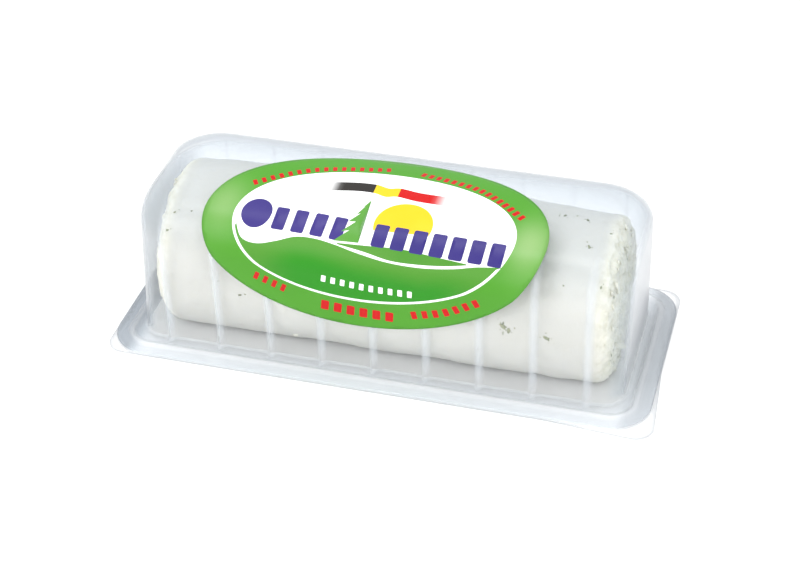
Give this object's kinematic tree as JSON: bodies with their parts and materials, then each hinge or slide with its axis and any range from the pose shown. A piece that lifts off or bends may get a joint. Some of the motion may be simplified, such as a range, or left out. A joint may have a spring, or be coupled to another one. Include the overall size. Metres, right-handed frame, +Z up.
{
  "type": "packed goat cheese log",
  "caption": "Soft white cheese log with herb flecks in a clear ribbed dome pack on a clear sheet, with an oval label.",
  "frame": {"origin": "middle of the underside of the clear sheet that the pack stands on", "axes": "+X along the log, towards the end with the peel corner; -Y is the front, where the label laps down; +Z up"},
  "size_m": [0.1466, 0.0644, 0.0446],
  "materials": {
    "cheese": "soft, moist, matt white paste",
    "clear_dome": "clear gloss",
    "clear_sheet": "clear gloss",
    "label": "printed, gloss"
  },
  "bodies": {
    "root": {"cheese": "cheese", "dome": "clear_dome", "sheet": "clear_sheet", "label": "label"}
  },
  "joints": []
}
